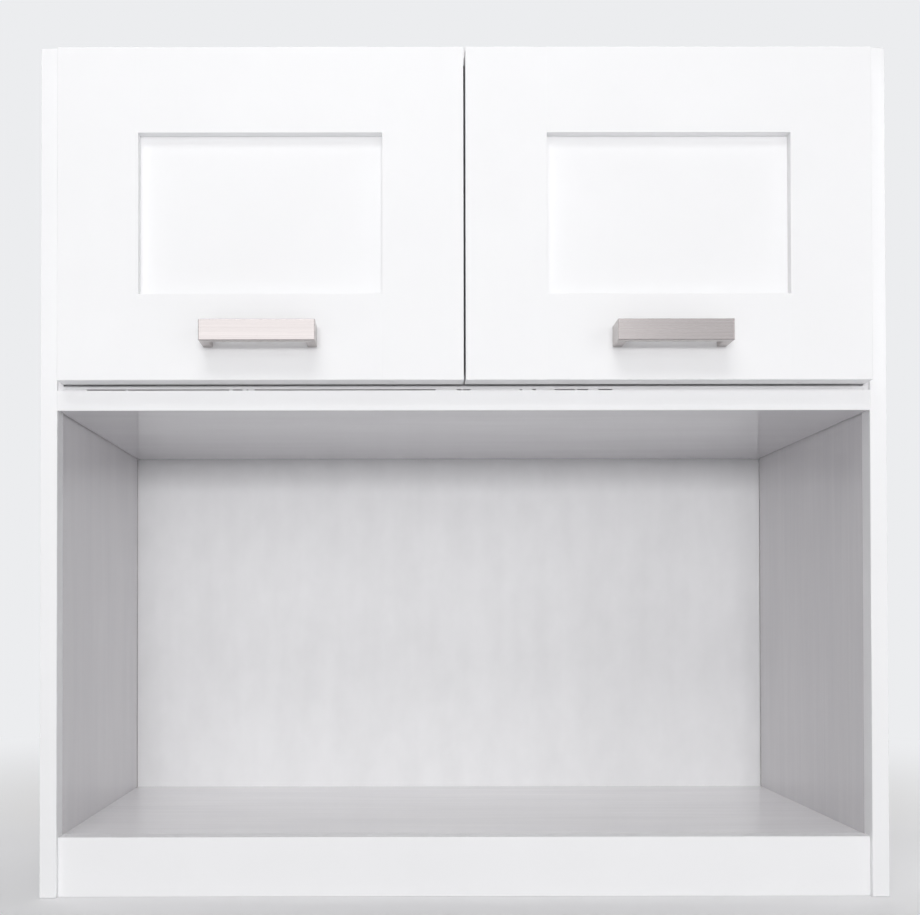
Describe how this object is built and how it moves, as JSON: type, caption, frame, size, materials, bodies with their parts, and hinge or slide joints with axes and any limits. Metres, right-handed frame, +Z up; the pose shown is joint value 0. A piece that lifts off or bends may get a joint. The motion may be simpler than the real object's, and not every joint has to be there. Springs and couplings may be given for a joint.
{
  "type": "microwave cabinet",
  "caption": "White wall cabinet with side-hinged framed doors and bar handles above an open niche for a countertop microwave oven.",
  "frame": {"origin": "centre of the whole cabinet's outer box in plan, handles included, at the level of its underside", "axes": "+X to the right of someone facing the doors, +Y from the doors towards the wall, +Z up"},
  "size_m": [0.7938, 0.4042, 0.7975],
  "materials": {
    "white_paint": "satin white lacquer on board",
    "inner_paint": "semi-gloss white lacquer, brushed in the upright direction",
    "back_board": "white-faced thin board",
    "raw_wood": "planed softwood, unpainted",
    "satin_nickel": "brushed satin nickel",
    "nickel_plate": "bright nickel plate on pressed steel",
    "zinc_steel": "zinc-plated steel",
    "clear_rubber": "clear soft polyurethane"
  },
  "bodies": {
    "carcass": {"left_gable": "inner_paint", "right_gable": "inner_paint", "left_stile": "white_paint", "right_stile": "white_paint", "shelf_front_rail": "white_paint", "shelf_deck": "inner_paint", "shelf_rear_bearer": "raw_wood", "shelf_left_bearer": "raw_wood", "shelf_right_bearer": "raw_wood", "niche_top_panel": "white_paint", "niche_back_panel": "back_board", "upper_left_side": "inner_paint", "upper_right_side": "inner_paint", "upper_bottom": "inner_paint", "upper_top": "inner_paint", "upper_back": "back_board", "upper_wall_rail": "raw_wood", "niche_wall_rail": "raw_wood", "shelf_wall_rail": "raw_wood", "left_lower_hinge_arm": "nickel_plate", "left_lower_hinge_plate": "nickel_plate", "left_lower_hinge_screw": "zinc_steel", "left_upper_hinge_arm": "nickel_plate", "left_upper_hinge_plate": "nickel_plate", "left_upper_hinge_screw": "zinc_steel", "right_lower_hinge_arm": "nickel_plate", "right_lower_hinge_plate": "nickel_plate", "right_lower_hinge_screw": "zinc_steel", "right_upper_hinge_arm": "nickel_plate", "right_upper_hinge_plate": "nickel_plate", "right_upper_hinge_screw": "zinc_steel"},
    "left_door": {"left_door_outer_stile": "white_paint", "left_door_inner_stile": "white_paint", "left_door_top_rail": "white_paint", "left_door_bottom_rail": "white_paint", "left_door_panel": "white_paint", "left_handle": "satin_nickel", "left_handle_outer_screw": "zinc_steel", "left_handle_inner_screw": "zinc_steel", "left_door_lower_bumper": "clear_rubber", "left_door_upper_bumper": "clear_rubber", "left_lower_hinge_cup": "nickel_plate", "left_lower_hinge_pin": "zinc_steel", "left_upper_hinge_cup": "nickel_plate", "left_upper_hinge_pin": "zinc_steel"},
    "right_door": {"right_door_outer_stile": "white_paint", "right_door_inner_stile": "white_paint", "right_door_top_rail": "white_paint", "right_door_bottom_rail": "white_paint", "right_door_panel": "white_paint", "right_handle": "satin_nickel", "right_handle_outer_screw": "zinc_steel", "right_handle_inner_screw": "zinc_steel", "right_door_lower_bumper": "clear_rubber", "right_door_upper_bumper": "clear_rubber", "right_lower_hinge_cup": "nickel_plate", "right_lower_hinge_pin": "zinc_steel", "right_upper_hinge_cup": "nickel_plate", "right_upper_hinge_pin": "zinc_steel"}
  },
  "joints": [
    {"name": "left_door_swing", "type": "hinge", "parent": "carcass", "child": "left_door", "pos_m": [-0.3689, -0.1625, 0.6344], "axis": [0, 0, -1], "range_deg": [0, 105]},
    {"name": "right_door_swing", "type": "hinge", "parent": "carcass", "child": "right_door", "pos_m": [0.3689, -0.1625, 0.6344], "axis": [0, 0, 1], "range_deg": [0, 105]}
  ]
}
